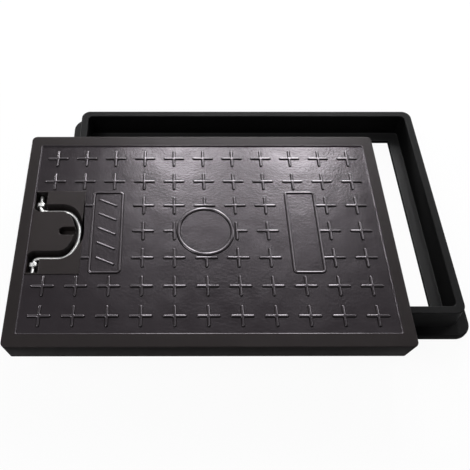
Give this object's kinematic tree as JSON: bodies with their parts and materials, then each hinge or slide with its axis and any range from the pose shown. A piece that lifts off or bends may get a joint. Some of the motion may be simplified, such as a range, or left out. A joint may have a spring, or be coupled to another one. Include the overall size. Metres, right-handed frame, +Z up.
{
  "type": "manhole cover and frame",
  "caption": "Rectangular moulded composite manhole cover with cross tread and steel bail, lying on its flanged seating frame.",
  "frame": {"origin": "middle of the assembly's footprint box, level with the frame's underside", "axes": "+X along the length, from the handle end to the far end; +Y from the front long side to the back one; +Z up"},
  "size_m": [0.725, 0.525, 0.098],
  "materials": {
    "frame_composite": "moulded satin black",
    "cover_composite": "moulded semi-gloss brown-black",
    "bail_steel": "bright galvanised rod",
    "strap_steel": "bright galvanised sheet"
  },
  "bodies": {
    "root": {"frame": "frame_composite", "cover": "cover_composite", "front_strap": "strap_steel", "rear_strap": "strap_steel"},
    "bail": {"bail": "bail_steel"}
  },
  "joints": [
    {"name": "bail_hinge", "type": "hinge", "parent": "root", "child": "bail", "pos_m": [-0.3335, -0.0625, 0.084], "axis": [0, -1, 0], "range_deg": [0, 105]}
  ]
}
